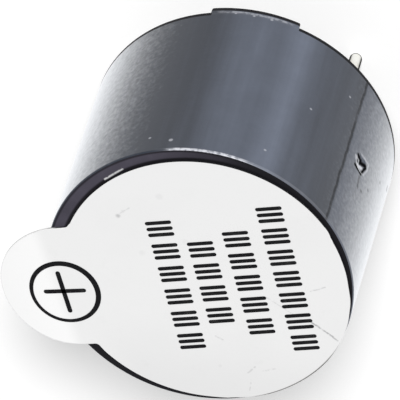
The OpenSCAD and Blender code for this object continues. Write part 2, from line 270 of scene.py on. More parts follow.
def round_case(turn: float) -> float:
    """Millimetres round the case's side from the direction that faces the camera to another."""
    return math.radians((turn - FACING + 180) % 360 - 180) * CASE_R


@dataclass(frozen=True)
class MouldedPlastic:
    """Glossy black-grey plastic of the case's side, with painted reflection streaks, seam, specks,
    a gate mark with painted shadow and highlights, and painted highlights along the front edge and
    the stand-off.
    """

    deep: Colour = (0.010, 0.015, 0.027)
    pale: Colour = (0.112, 0.132, 0.180)
    # pale tone of the specks, the scratches and the painted highlights
    scuff_and_highlight: Colour = (0.55, 0.56, 0.61)
    haze: Colour = (0.82, 0.84, 0.87)
    # near black of the seam and dots, and of the gate's painted shadow
    black_and_shade: Colour = (0.002, 0.002, 0.003)
    # Painted reflection: (direction, share of the paler tone) round the case, the bands of light
    # and shade that reflections make, painted into the colour.
    reflection_streaks: tuple[Point, ...] = (
        (-180.0, 0.42), (-164.0, 0.42), (-161.0, 0.10), (-155.0, 0.12), (-145.0, 0.22),
        (-138.0, 0.42), (-132.8, 0.84), (-128.0, 0.74), (-122.5, 0.50), (-116.0, 0.58),
        (-108.0, 0.42), (-100.0, 0.10), (-92.0, 0.0), (-78.0, 0.0), (-60.0, 0.10), (0.0, 0.25),
        (90.0, 0.3),
    )
    far_reflection_level: float = 0.3
    seam_turn: float = -161.9
    seam_half: Point = (0.11, 0.02)
    speck_light: float = 0.5
    dot_dark: float = 0.5
    stroke_soft: float = 0.05
    haze_from: float = 0.51
    gate_turn: float = -171.2
    # Painted highlights: (start direction, end direction, lowest height) along the front edge and
    # along the stand-off.
    edge_highlight: Triple = (-121.0, -96.0, 9.215)
    foot_highlight: Triple = (-127.0, -96.0, 0.23)
    specks: tuple[Triple, ...] = (
        (-95.3, 8.72, 0.08), (-86.6, 8.42, 0.05), (-141.8, 4.53, 0.05), (-156.0, 2.17, 0.05),
        (-117.7, 0.40, 0.06), (-129.9, 8.22, 0.05), (-104.0, 0.36, 0.05), (-111.0, 0.40, 0.05),
    )
    dots: tuple[Triple, ...] = (
        (-176.1, 5.68, 0.07), (179.3, 5.0, 0.07), (171.2, 3.34, 0.07), (158.8, 2.0, 0.14),
    )
    # Painted shadow in the gate's pit: (start, end, half width) in mm round and up the case.
    gate_shadow_strokes: tuple[tuple[Point, Point, float], ...] = (
        ((0.28, 4.38), (0.02, 4.39), 0.09), ((0.0, 4.48), (-0.30, 4.34), 0.09),
        ((0.31, 5.04), (-0.14, 5.04), 0.08), ((-0.37, 4.38), (-0.22, 4.85), 0.06),
        ((0.24, 4.63), (0.22, 4.68), 0.06),
    )
    # Painted highlights on the pit's facets: (start, end, half width).
    gate_highlight_strokes: tuple[tuple[Point, Point, float], ...] = (
        ((0.15, 4.80), (-0.18, 4.65), 0.10), ((0.10, 4.13), (-0.47, 4.02), 0.05),
        ((-0.49, 4.04), (-0.52, 4.32), 0.05), ((-0.51, 4.34), (-0.33, 4.89), 0.04),
        ((0.41, 4.57), (0.39, 4.71), 0.06),
    )

    def build(self) -> Material:
        """Makes the material."""
        g = Graph("case_plastic")
        place = g.place()
        side, z = unrolled(g, place)
        mottle = g.noise(place, 0.9, 4)
        grain = g.noise(place, 5.5, 3, 0.6)
        # The paler share is painted reflection by direction, varied by mottle and grain.
        level = self._painted_reflection_level(g, side, z) * (0.8 + mottle * 0.4) + (grain - 0.5) * 0.10
        colour = g.tint(level.most(0).least(1), self.deep, self.pale)
        seam_at = round_case(self.seam_turn) + (g.noise(g.joined(0, 0, z), 1.3, 3) - 0.5) * 0.22
        seam = g.fade(abs(side - seam_at), *self.seam_half)
        seam = seam * g.fade(g.noise(g.joined(4.0, 0, z), 0.55, 2), 0.15, 0.5)
        colour = g.tint(seam * 0.75, colour, self.black_and_shade)
        # light holds the gate's painted highlights, then the pale specks; dark holds its painted
        # shadow, then the dark dots.
        light, dark = self._gate_shadow_and_highlights(g, side, z)
        for turn, height, radius in self.dots:
            spot = g.spot(side, z, (round_case(turn), height), radius, self.stroke_soft)
            dark = dark.most(spot * self.dot_dark)
        for turn, height, radius in self.specks:
            spot = g.spot(side, z, (round_case(turn), height), radius, 0.03)
            light = light.most(spot * self.speck_light)
        # Painted highlights on the front edge and stand-off, with sparse real scratches; both take
        # the pale tone.
        highlight_and_scratches = self._painted_edge_highlights(g, side, z, grain).most(self._scratches(g, side, z) * 0.25)
        colour = g.tint(dark, colour, self.black_and_shade)
        colour = g.tint(light.most(highlight_and_scratches), colour, self.scuff_and_highlight)
        rough = 0.24 + mottle * 0.08 + grain * 0.06 + light * 0.25 + seam * 0.3
        height = mottle * 0.5 + grain * 0.15 - seam * 0.5
        normal = g.bump(height, 0.012)
        plastic = g.principled(
            Base_Color=colour, Roughness=rough, IOR=1.45, Normal=normal,
            Sheen_Weight=0.12, Sheen_Roughness=0.3, Sheen_Tint=(0.85, 0.90, 1.0),
        )
        haze = g.principled(Base_Color=self.haze, Metallic=1.0, Roughness=0.34)
        # Dull black mixed in over the gate's painted shadow, the dark dots and a little of the
        # seam.
        dull_black = g.principled(Base_Color=self.black_and_shade, Roughness=0.9, IOR=1.1)
        share = g.fade(g.facing() + (grain - 0.5) * 0.18, self.haze_from, 1.0)
        pit_shade_and_dark_marks = dark.most(seam * 0.2)
        return g.finish(g.blend(pit_shade_and_dark_marks, g.blend(share, plastic, haze), dull_black))

    def _painted_reflection_level(self, g: Graph, side: Signal, z: Signal) -> Signal:
        """Share of the paler tone round the case: painted reflection, lighter and darker bands
        along the axis by direction, with random tone on top.
        """
        length = math.tau * CASE_R
        stops = sorted((round_case(turn) / length + 0.5, level) for turn, level in self.reflection_streaks)
        far = self.far_reflection_level
        level = g.ramp(side / length + 0.5, [(0.0, far), *stops, (1.0, far)])
        fine = g.noise(g.joined(side, 0, z * 0.05), 2.6, 4, 0.6)
        broad = g.noise(g.joined(side, 3.0, z * 0.12), 0.8, 2)
        return level + (fine - 0.5) * 0.34 + (broad - 0.5) * 0.2

    def _painted_edge_highlights(self, g: Graph, side: Signal, z: Signal, grain: Signal) -> Signal:
        """Painted highlights: pale lines along the front edge and along the stand-off, patchy along
        their length.
        """
        start, end, low = self.edge_highlight
        edge = g.fade(z, low, low + 0.05)
        highlit_stretch = g.fade(side, round_case(start) - 0.9, round_case(start) + 0.3)
        highlit_stretch = highlit_stretch * g.fade(side, round_case(end) + 0.3, round_case(end) - 0.1)
        patchy = g.fade(grain, 0.36, 0.62)
        along = g.fade(side, round_case(end) + 0.8, round_case(end) - 0.4)
        edge = edge * (along * 0.13 + highlit_stretch * (0.16 + patchy * 0.72))
        start, end, low = self.foot_highlight
        foot = g.fade(z, low - 0.02, low + 0.03) * g.fade(z, low + 0.18, low + 0.06)
        foot = foot * g.fade(side, round_case(start), round_case(start) + 0.4)
        foot = foot * g.fade(side, round_case(end), round_case(end) - 0.4)
        return edge.most(foot * (0.08 + g.fade(grain, 0.4, 0.6) * 0.35))

    def _gate_shadow_and_highlights(self, g: Graph, side: Signal, z: Signal) -> tuple[Signal, Signal]:
        """Painted highlights and painted shadow of the torn gate's pit.

        Args:
            g: the material's graph.
            side: distance round the case.
            z: height.

        Returns:
            The painted highlight mask, and the dark mask of the painted shadow with a dark streak
            above the pit.
        """
        wobble = (g.noise(g.joined(side, 0, z), 6, 2) - 0.5) * 0.08
        x, y = side - round_case(self.gate_turn) + wobble, z + wobble
        dark = g.stroke(x, y, (-0.12, 5.25), (-0.2, 5.85), 0.05, 0.05) * 0.4
        for stroke in self.gate_shadow_strokes:
            dark = dark.most(g.stroke(x, y, *stroke, self.stroke_soft))
        light, *fainter = [g.stroke(x, y, *line, self.stroke_soft) for line in self.gate_highlight_strokes]
        for line in fainter:
            light = light.most(line * 0.6)
        return light, dark

    def _scratches(self, g: Graph, side: Signal, z: Signal) -> Signal:
        """Sparse hair scratches in two directions."""
        one = g.noise(g.joined(side * 9, z * 0.5, 1.0), 1.0, 1)
        two = g.noise(g.joined(side * 0.7, z * 8, 7.0), 1.0, 1)
        return g.fade(one, 0.79, 0.85).most(g.fade(two, 0.82, 0.88))


@dataclass(frozen=True)
class MattePlastic:
    """Duller plastic of the case's front ring and rim, with the mould's fine grain; the front ring
    has a painted reflection towards one side and painted shade along its outer edge and beside the
    seal.
    """

    dark: Colour = (0.002, 0.002, 0.003)
    # tone of the painted reflection, also reached a little by the grain
    grain_and_reflection_tone: Colour = (0.072, 0.066, 0.088)
    bare: Colour = (0.6, 0.6, 0.61)
    front_z: float = 9.3
    edge_shade_r: Point = (5.84, 5.91)
    seal_centre: Point = (-0.17, 0.16)
    seal_shade_r: Point = (5.80, 5.70)
    nick: tuple[Point, Point] = ((2.30, -5.02), (1.47, -5.38))

    def build(self) -> Material:
        """Makes the material."""
        g = Graph("case_plastic_matte")
        place = g.place()
        x, y, z = g.axes(place)
        grain = g.noise(place, 9, 5, 0.6)
        blotch = g.noise(place, 1.4, 3)
        # Painted reflection: the front ring lighter towards one side, taken back by painted shade
        # near its outer edge and beside the seal.
        painted_reflection = g.fade(x - y * 0.25, -3.2, 2.2) * g.fade(y, 2.0, -2.0)
        painted_reflection = painted_reflection * g.fade(z, self.front_z, self.front_z + 0.04)
        radius = (x * x + y * y) ** 0.5
        painted_reflection = painted_reflection * (1 - g.fade(radius, *self.edge_shade_r) * 0.75)
        painted_reflection = painted_reflection * (1 - g.fade(away_from(x, y, self.seal_centre), *self.seal_shade_r))
        colour = g.tint(
            (painted_reflection * (0.5 + blotch * 0.55) + grain * 0.08).least(1), self.dark, self.grain_and_reflection_tone
        )
        nick = g.stroke(x, y, *self.nick, 0.035, 0.03) * g.fade(grain, 0.35, 0.5)
        colour = g.tint(nick, colour, self.bare)
        normal = g.bump(grain, 0.008)
        return g.finish(
            g.principled(Base_Color=colour, Roughness=0.5 + grain * 0.2, IOR=1.22, Normal=normal)
        )


@dataclass(frozen=True)
class SealFilm:
    """White film of the seal, with handling smudges and faint scratches, a tab painted brighter as
    if lit more, and painted shade towards one side and along part of its edge.
    """

    shape: "SealLabel"
    white: Colour = (0.83, 0.83, 0.83)
    lit_tab_white: Colour = (0.93, 0.93, 0.93)
    smudge_and_shade: Colour = (0.22, 0.22, 0.23)
    # colour and radii of the painted shadow along part of the film's edge
    rim_shadow: Colour = (0.06, 0.055, 0.05)
    rim_shadow_r: Point = (5.735, 5.775)
    tab_from: float = 5.4
    marks: tuple[tuple[Point, float, float], ...] = (
        ((2.29, -3.33), 0.08, 0.45), ((2.05, -3.50), 0.05, 0.25), ((1.89, -1.48), 0.12, 0.07),
        ((0.41, -3.95), 0.14, 0.08), ((0.04, -1.72), 0.13, 0.06), ((0.47, 4.27), 0.10, 0.14),
    )
    scratches: tuple[tuple[Point, Point, float, float], ...] = (
        ((-3.66, 2.68), (-4.37, 3.57), 0.03, 0.75), ((-3.88, 2.91), (-4.49, 3.78), 0.03, 0.6),
        ((-2.35, 1.36), (-3.34, 2.53), 0.025, 0.25), ((-4.15, 1.34), (-4.75, 1.22), 0.02, 0.35),
        ((-0.53, 4.76), (-0.89, 4.52), 0.035, 0.3), ((-0.55, 5.11), (-0.35, 5.60), 0.025, 0.3),
        ((-1.15, 4.76), (-1.65, 4.73), 0.03, 0.3), ((0.23, 2.83), (-0.03, 3.06), 0.035, 0.25),
        ((2.20, -3.42), (1.75, -3.62), 0.02, 0.25),
    )

    def build(self) -> Material:
        """Makes the material."""
        g = Graph("seal_film")
        place = g.place()
        x, y, _ = g.axes(place)
        cloud = g.noise(place, 0.35, 3)
        fibre = g.noise(g.stretched(place, (1, 1, 0.2)), 7, 4, 0.6)
        # Painted light: the tab turns brighter from tab_from outwards.
        colour = g.tint(g.fade(x, self.tab_from, self.tab_from + 0.7), self.white, self.lit_tab_white)
        dirt_and_shade = g.fade(g.noise(place, 1.1, 4, 0.65), 0.6, 0.85) * 0.06 + (cloud - 0.5).most(0) * 0.1
        # Painted shade: the film darker towards one side, away from the tab; the rest of this mask
        # is smudges, scratches and a grey cut line.
        dirt_and_shade = dirt_and_shade + g.fade(x * 0.35 + y * 0.94, 2.0, 5.8) * g.fade(x, 5.5, 3.5) * 0.10
        wobble = (g.noise(place, 3.0, 2) - 0.5) * 0.12
        for centre, radius, strength in self.marks:
            dirt_and_shade = dirt_and_shade.most(g.spot(x + wobble, y - wobble, centre, radius, 0.07) * strength)
        for start, end, half, strength in self.scratches:
            line = g.stroke(x + wobble * 0.5, y - wobble * 0.5, start, end, half, 0.03)
            dirt_and_shade = dirt_and_shade.most(line * g.fade(fibre, 0.3, 0.55) * strength)
        dirt_and_shade = dirt_and_shade.most(self._cut_edge(g, x, y) * g.fade(x, 4.6, 5.6) * 0.12)
        colour = g.tint(dirt_and_shade, colour, self.smudge_and_shade)
        # Painted shadow: a dark line just inside part of the film's edge.
        rim_shadow = g.fade(away_from(x, y, self.shape.centre), *self.rim_shadow_r)
        rim_shadow = rim_shadow * g.fade(y, 3.4, 5.0) * g.fade(x, 1.4, 0.2)
        colour = g.tint(rim_shadow * 0.9, colour, self.rim_shadow)
        normal = g.bump(fibre * 0.4 + cloud, 0.006)
        return g.finish(
            g.principled(Base_Color=colour, Roughness=0.46 + fibre * 0.12, IOR=1.4, Normal=normal)
        )

    def _cut_edge(self, g: Graph, x: Signal, y: Signal) -> Signal:
        """Mask of the greyer line along the film's cut edge."""
        label = self.shape
        c, s = math.cos(math.radians(label.tab_turn)), math.sin(math.radians(label.tab_turn))
        across, up = x - label.centre[0], y - label.centre[1]
        u, v = across * c + up * s, up * c - across * s
        end_x = label.radius + label.tab_reach - label.tab_w / 2
        along = u.most(0).least(end_x)
        to_tab = ((u - along) ** 2 + v * v) ** 0.5 - label.tab_w / 2
        to_disc = (u * u + v * v) ** 0.5 - label.radius
        return g.fade(to_tab.least(to_disc), -0.05, -0.01)


@dataclass(frozen=True)
class CutEdge:
    """Cut side of the film: painted dark as shade where it lies on the case, pale on the tab."""

    dark: Colour = (0.012, 0.012, 0.014)
    pale: Colour = (0.62, 0.62, 0.62)
    tab_from: float = 4.7

    def build(self) -> Material:
        """Makes the material."""
        g = Graph("seal_cut_edge")
        place = g.place()
        x, _, _ = g.axes(place)
        grain = g.noise(place, 12, 3)
        # The cut side is painted dark as shade, paling out along the tab.
        on_tab = g.fade(x + (grain - 0.5) * 0.3, self.tab_from, self.tab_from + 0.8)
        colour = g.tint(on_tab, self.dark, self.pale)
        normal = g.bump(grain, 0.004)
        return g.finish(g.principled(Base_Color=colour, Roughness=0.6, IOR=1.3, Normal=normal))


@dataclass(frozen=True)
class PrintInk:
    """Black screen print, a little thin in places."""

    black: Colour = (0.004, 0.004, 0.005)
    thin: Colour = (0.045, 0.045, 0.045)

    def build(self) -> Material:
        """Makes the material."""
        g = Graph("print_ink")
        place = g.place()
        patchy = g.fade(g.noise(place, 2.2, 4, 0.6), 0.5, 0.8)
        pinholes = g.fade(g.cells(place, 5.0), 0.12, 0.05)
        colour = g.tint((patchy * 0.5).most(pinholes * 0.4), self.black, self.thin)
        normal = g.bump(g.noise(place, 14, 2), 0.003)
        return g.finish(
            g.principled(Base_Color=colour, Roughness=0.5 + patchy * 0.15, IOR=1.18, Normal=normal)
        )


class Make(Enum):
    """How a metal piece was made, which decides the direction of its fine lines."""

    TURNED = "turned"
    ROLLED = "rolled"
    DRAWN = "drawn"
    CAST = "cast"


@dataclass(frozen=True)
class Metal:
    """Metal with fine lines from its making, stains, a soft bright finish and a painted dark
    outline where it is seen edge-on.
    """

    name: str
    colour: Colour
    stain: Colour
    make: Make
    roughness: float = 0.3
    lines: float = 0.35
    edge: float = 0.0

    def build(self) -> Material:
        """Makes the material."""
        g = Graph(self.name)
        place = g.place()
        streak = self._lines(g, place)
        stain = g.fade(g.noise(place, 1.6, 5, 0.6), 0.45, 0.8)
        colour = g.tint(stain * 0.6 + streak * 0.15, self.colour, self.stain)
        # Painted shade: the colour darkens where the surface is seen edge-on.
        colour = g.tint(g.fade(g.facing(), 0.5, 0.72) * self.edge, colour, (0.02, 0.02, 0.02))
        rough = self.roughness + stain * 0.18 + (streak - 0.5) * self.lines * 0.3
        height = streak * self.lines + stain * 0.3
        grazing = (1.0 - self.edge,) * 3
        shader = g.principled(
            Base_Color=colour, Metallic=1.0, Roughness=rough, Normal=g.bump(height, 0.006),
            Specular_Tint=grazing,
        )
        return g.finish(shader)

    def _lines(self, g: Graph, place: Socket) -> Signal:
        """Fine lines in the direction that the making leaves."""
        if self.make is Make.TURNED:
            x, y, z = g.axes(place)
            radius = (x * x + y * y) ** 0.5
            return g.noise(g.joined(radius * 9, z * 9, 0.0), 1.0, 3)
        if self.make is Make.ROLLED:
            return g.noise(g.stretched(place, (0.5, 14, 14)), 1.0, 3)
        if self.make is Make.DRAWN:
            return g.noise(g.stretched(place, (16, 16, 0.4)), 1.0, 3)
        return g.noise(place, 7.0, 4)


@dataclass(frozen=True)
class Dull:
    """Non-metal with two tones, grain and a fine surface texture."""

    name: str
    colour: Colour
    second: Colour
    grain: float
    roughness: float
    depth: float = 0.01
    ior: float = 1.45
    coat: float = 0.0

    def build(self) -> Material:
        """Makes the material."""
        g = Graph(self.name)
        place = g.place()
        blotch = g.fade(g.noise(place, self.grain * 0.15, 4), 0.4, 0.75)
        grain = g.noise(place, self.grain, 4, 0.6)
        colour = g.tint(blotch * 0.55 + grain * 0.3, self.colour, self.second)
        rough = self.roughness + (grain - 0.5) * 0.2 + blotch * 0.06
        normal = g.bump(grain + blotch * 0.5, self.depth)
        shader = g.principled(
            Base_Color=colour, Roughness=rough, IOR=self.ior, Coat_Weight=self.coat, Normal=normal
        )
        return g.finish(shader)


def to_data(name: str, mesh: Mesh) -> bpy.types.Mesh:
    """Mesh data with the shape of a mesh, which is freed."""
    data = bpy.data.meshes.new(name)
    mesh.to_mesh(data)
    mesh.free()
    return data


def linked(name: str, data: bpy.types.ID) -> bpy.types.Object:
    """New object of the scene that shows the data."""
    item = bpy.data.objects.new(name, data)
    bpy.context.scene.collection.objects.link(item)
    return item


def add_piece(
    name: str,
    mesh: Mesh,
    materials: Sequence[Material],
    slot: str,
    replaced: Sequence[str] = (),
    sharp: float = 40.0,
) -> bpy.types.Object:
    """Turns a mesh in millimetres into a piece that rides on the part.

    Args:
        name: name of the piece.
        mesh: its shape, which is freed.
        materials: its materials, in the order of the faces' numbers.
        slot: name of the material slot that it belongs to, which is only logged.
        replaced: the CAD nodes that it stands for.
        sharp: angle in degrees above which an edge is drawn sharp.

    Returns:
        The piece.
    """
    bmesh.ops.recalc_face_normals(mesh, faces=mesh.faces)
    mesh.transform(Matrix.Scale(MM, 4))
    data = to_data(name, mesh)
    data.polygons.foreach_set("use_smooth", [True] * len(data.polygons))
    data.set_sharp_from_angle(angle=math.radians(sharp))
    for material in materials:
        data.materials.append(material)
    piece = linked(name, data)
    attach(piece, ROOT)
    if replaced:
        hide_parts(*replaced)
    log.info("%s: %d faces, %s", name, len(data.polygons), slot)
    return piece


def polar(radius: float, turn: float, z: float = 0.0) -> Vector:
    """Point at a radius, a direction in degrees and a height."""
    a = math.radians(turn)
    return Vector((radius * math.cos(a), radius * math.sin(a), z))


def arc(centre: Point, radius: float, start: float, end: float, steps: int) -> list[Point]:
    """Points along an arc, both ends included, angles in degrees."""
    turns = [math.radians(start + (end - start) * i / steps) for i in range(steps + 1)]
    return [(centre[0] + radius * math.cos(t), centre[1] + radius * math.sin(t)) for t in turns]


def skin(
    mesh: Mesh, rings: Sequence[Sequence[bmesh.types.BMVert]], closed: bool
) -> None:
    """Adds faces between rings of points, and a cap at each end of a run that isn't closed."""
    following = [*rings[1:], rings[0]] if closed else rings[1:]
    count = len(rings[0])
    for near, far in zip(rings, following):
        for i in range(count):
            j = (i + 1) % count
            mesh.faces.new((near[i], near[j], far[j], far[i]))
    if not closed:
        mesh.faces.new(rings[0])
        mesh.faces.new(rings[-1])


def revolve(
    mesh: Mesh,
    profile: Sequence[Point],
    turns: Sequence[float],
    warp: Callable[[Vector, float], Vector],
) -> None:
    """Adds a closed profile swept all the way round the axis.

    Args:
        mesh: the mesh to add to.
        profile: (radius, height) points of a closed loop.
        turns: directions of the stations, in degrees.
        warp: moves a point, given the point and its direction.
    """
    rings = [
        [mesh.verts.new(warp(polar(radius, turn, z), turn)) for radius, z in profile]
        for turn in turns
    ]
    skin(mesh, rings, closed=True)


@dataclass
class MouldedCase:
    """Moulded can: stepped bore, rounded front edge, three stand-offs and the gate mark."""

    outer_r: float = CASE_R
    mouth_r: float = 5.4
    bore_r: float = 5.1
    chamber_r: float = 4.7
    hole_r: float = 1.25
    rim_z: float = 0.3
    board_stop_z: float = 2.3
    ring_stop_z: float = 7.5
    chamber_z: float = 8.55
    front_z: float = 9.35
    edge_r: float = 0.07
    rim_round: float = 0.04
    # height of the band along the rim that the duller, darker finish paints as a line of shade
    rim_shade_band: float = 0.2
    standoff_span: float = 34.0
    standoff_turn: float = -111.4
    standoff_count: int = 3
    gate_turn: float = -171.4
    gate_z: float = 4.58
    gate_depth: float = 0.07
    gate_r: float = 0.42
    gate_span: float = 14.0
    stations: int = 300

    def build(self) -> bpy.types.Object:
        """Makes the case and dresses it."""
        mesh = bmesh.new()
        revolve(mesh, self._profile(), self._turns(), self._with_gate)
        for i in range(self.standoff_count):
            self._add_standoff(mesh, self.standoff_turn + i * 360 / self.standoff_count)
        self._mark_matte_faces(mesh)
        materials = [MouldedPlastic().build(), MattePlastic().build()]
        return add_piece("case_shell", mesh, materials, "case_plastic", ["case"])

    def _profile(self) -> list[Point]:
        """Closed outline of the wall, from the rim's inner edge round the outside."""
        r, e = self.rim_round, self.edge_r
        low, top = self.rim_z, self.front_z
        side = [self.gate_z + 0.04 * i for i in range(-18, 19)]
        heights = [low + self.rim_shade_band, 1.0, 2.2, 3.2, *side, 5.8, 6.8, 7.8, 8.8, 9.1, 9.24]
        return [
            *arc((self.mouth_r + r, low + r), r, 180, 270, 4),
            *arc((self.outer_r - r, low + r), r, 270, 360, 4),
            *[(self.outer_r, z) for z in heights],
            *arc((self.outer_r - e, top - e), e, 0, 90, 8),
            (self.outer_r - e - 0.02, top), (4.0, top), (self.hole_r + 0.08, top),
            (self.hole_r, top - 0.06), (self.hole_r, self.chamber_z + 0.04),
            (self.hole_r + 0.05, self.chamber_z), (self.chamber_r, self.chamber_z),
            (self.chamber_r, self.ring_stop_z), (self.bore_r, self.ring_stop_z),
            (self.bore_r, self.board_stop_z), (self.mouth_r, self.board_stop_z),
        ]

    def _turns(self) -> list[float]:
        """Directions of the stations, closer together at the gate mark."""
        step = 360 / self.stations
        near = self.gate_span / 2
        count = int((360 - self.gate_span) / step) + 1
        coarse = [self.gate_turn + near + i * step for i in range(count)]
        fine = [self.gate_turn - near + i * 0.4 for i in range(1, 35)]
        return coarse + [turn + 360 for turn in fine]

    def _with_gate(self, point: Vector, turn: float) -> Vector:
        """Presses the torn gate into the side."""
        if point.xy.length < self.outer_r - 0.01:
            return point
        away = (turn - self.gate_turn + 180) % 360 - 180
        across, up = math.radians(away) * self.outer_r, point.z - self.gate_z
        distance = math.hypot(across * 1.05 + up * 0.15, up * 0.9 - across * 0.2)
        hollow = max(0.0, 1 - (distance / self.gate_r) ** 2)
        tear = noise.noise(Vector((across * 7, up * 7, 3.1))) * 0.5
        depth = self.gate_depth * hollow * (1 + tear)
        return point - point.xy.normalized().to_3d() * depth

    def _add_standoff(self, mesh: Mesh, turn: float) -> None:
        """Adds one raised arc with softened edges under the rim."""
        r, half = self.rim_round, self.standoff_span / 2
        inner, outer, high = self.mouth_r, self.outer_r, self.rim_z + 0.06
        profile = [
            (inner, high), *arc((inner + r, r), r, 180, 270, 3),
            *arc((outer - r, r), r, 270, 360, 3), (outer, self.rim_shade_band), (outer, high),
        ]
        middle = (inner + outer) / 2
        rings = []
        for station, share in self._end_steps(turn, half):
            ring = []
            for radius, z in profile:
                lowered = high - (high - z) * share
                pulled = middle + (radius - middle) * (0.94 + 0.06 * share)
                ring.append(mesh.verts.new(polar(pulled, station, lowered)))
            rings.append(ring)
        skin(mesh, rings, closed=False)

    def _end_steps(self, turn: float, half: float) -> list[Point]:
        """Stations along a stand-off with the share of its height at each."""
        ends = [(0.0, 0.3), (0.04, 0.72), (0.18, 0.9), (0.42, 0.98), (0.7, 1.0)]
        start = [(turn - half + off, share) for off, share in ends]
        middle = [(turn - half + 1 + i * (2 * half - 2) / 24, 1.0) for i in range(25)]
        end = [(turn + half - off, share) for off, share in reversed(ends)]
        return start + middle + end

    def _mark_matte_faces(self, mesh: Mesh) -> None:
        """Gives the front ring and the inside the duller finish, and the band along the rim too,
        where it paints a dark line of shade.
        """
        for face in mesh.faces:
            centre = face.calc_center_median()
            turn = math.degrees(math.atan2(centre.y, centre.x)) - self.standoff_turn
            pitch = 360 / self.standoff_count
            over = abs((turn + pitch / 2) % pitch - pitch / 2) < self.standoff_span / 2
            line_z = self.rim_shade_band if over else self.rim_z + self.rim_shade_band
            front = centre.z > self.front_z - 0.004
            inside = centre.xy.length < self.outer_r - self.edge_r - 0.03
            face.material_index = 1 if front or inside or centre.z < line_z else 0


@dataclass
class SealLabel:
    """Round film over the sound hole, with a pull tab that bends gently past the case's edge."""

    radius: float = 5.65
    centre: Point = (-0.17, 0.16)
    low_z: float = 9.35
    film_t: float = 0.088
    ink_t: float = 0.012
    tab_turn: float = -5.3
    tab_w: float = 5.6
    tab_reach: float = 2.52
    neck_r: float = 0.2
    bend_from: float = 5.9
    bend_r: float = 16.0
    bend_step: float = 0.1
    bend_cuts: int = 26
    soft_edge: float = 0.02
    wander: tuple[Point, ...] = (
        (0.0, 0.0), (50.0, 0.02), (74.0, 0.03), (86.0, 0.07), (98.0, 0.14), (128.0, 0.15),
        (146.0, 0.10), (158.0, 0.04), (170.0, -0.04), (182.0, -0.06), (190.0, -0.06),
        (196.0, 0.0), (210.0, 0.0), (240.0, -0.02), (270.0, -0.03), (325.0, -0.04), (360.0, 0.0),
    )
    sign_centre: Point = (5.48, -0.131)
    sign_axes: Point = (1.413, 1.473)
    sign_strokes: tuple[tuple[Point, Point], ...] = (
        ((0.011, -0.999), (0.089, 1.004)), ((0.843, -0.131), (-0.847, 0.06)),
    )
    sign_line: float = 0.185
    sign_hole_shift: Point = (0.035, 0.03)
    sign_steps: int = 96
    rows_turn: float = -4.0
    rows: tuple[tuple[float, float, float, int], ...] = (
        (1.20, 3.40, -3.10, 6), (-0.22, 2.25, -1.98, 4), (-1.70, 2.90, -2.34, 5),
        (-3.27, 3.80, -3.36, 7),
    )
    row_height: float = 1.05
    bar_w: float = 0.165
    bar_places: tuple[float, ...] = (-0.28, 0.0, 0.28)

    def build(self) -> list[bpy.types.Object]:
        """Makes the film, the rows of its print and the polarity sign."""
        film = [SealFilm(self).build(), CutEdge().build()]
        ink = [PrintInk().build()]
        top = self.low_z + self.film_t
        return [
            self._laid("seal_film", self._film(), self.low_z, top, film, ["seal_label"]),
            self._laid("print_rows", self._print_rows(), top, top + self.ink_t, ink),
            self._laid("polarity_sign", self._sign(), top, top + self.ink_t, ink),
        ]

    def _laid(
        self,
        name: str,
        flat: Mesh,
        low: float,
        high: float,
        materials: Sequence[Material],
        replaced: Sequence[str] = (),
    ) -> bpy.types.Object:
        """Lays a flat shape on the front as a thin sheet that follows the bend.

        Args:
            name: name of the piece.
            flat: faces seen from the front, in the part's plan.
            low: height of the sheet's underside where it is flat.
            high: height of its top.
            materials: its material, and a second one for its cut sides if they differ.
            replaced: the CAD nodes that it stands for.

        Returns:
            The piece.
        """
        along = polar(1.0, self.tab_turn)
        for i in range(self.bend_cuts):
            geometry = [*flat.verts, *flat.edges, *flat.faces]
            place = along * (self.bend_from + self.bend_step * i)
            bmesh.ops.bisect_plane(flat, geom=geometry, plane_co=place, plane_no=along)
        raised = bmesh.ops.extrude_face_region(flat, geom=flat.faces[:])["geom"]
        top = {item for item in raised if isinstance(item, bmesh.types.BMVert)}
        ground = set(flat.verts) - top
        thickness = high - low
        soft = min(self.soft_edge, thickness * 0.45)
        for vert in top:
            vert.co.z += thickness
        sides = [face for face in flat.faces if top & set(face.verts) and ground & set(face.verts)]
        for face in sides:
            face.material_index = len(materials) - 1
        rim = {edge for face in sides for edge in face.edges if set(edge.verts) <= top}
        bmesh.ops.bevel(
            flat, geom=list(rim), offset=soft, segments=2, affect="EDGES", profile=0.5, material=0
        )
        for vert in flat.verts:
            vert.co.z += low - self._drop(vert.co.dot(along))
        return add_piece(name, flat, materials, "seal_film", replaced, sharp=8.0)

    def _drop(self, along: float) -> float:
        """How far the sheet has bent down at a distance along the tab."""
        past = max(0.0, along - self.bend_from)
        return self.bend_r - math.sqrt(self.bend_r**2 - past**2)

    def _film(self) -> Mesh:
        """Outline of the round film and its tab, with rounded corners between them."""
        half = self.tab_w / 2
        end_x = self.radius + self.tab_reach - half
        neck_x = math.sqrt((self.radius + self.neck_r) ** 2 - (half + self.neck_r) ** 2)
        neck_turn = math.degrees(math.atan2(half + self.neck_r, neck_x))
        points = arc((end_x, 0), half, -90, 90, 64)
        points += arc((neck_x, half + self.neck_r), self.neck_r, 270, 180 + neck_turn, 6)
        for x, y in arc((0, 0), self.radius, neck_turn, 360 - neck_turn, 220)[1:-1]:
            grown = 1 + self._wander(math.degrees(math.atan2(y, x)) + self.tab_turn) / self.radius
            points.append((x * grown, y * grown))
        points += arc((neck_x, -half - self.neck_r), self.neck_r, 180 - neck_turn, 90, 6)
        return self._flat([points], self.tab_turn)

    def _wander(self, turn: float) -> float:
        """How far the cut runs outside the round shape in a direction from the pin."""
        turn %= 360
        for (start, first), (end, last) in zip(self.wander, self.wander[1:]):
            if turn <= end:
                share = (turn - start) / (end - start)
                return first + (last - first) * share * share * (3 - 2 * share)
        return 0.0

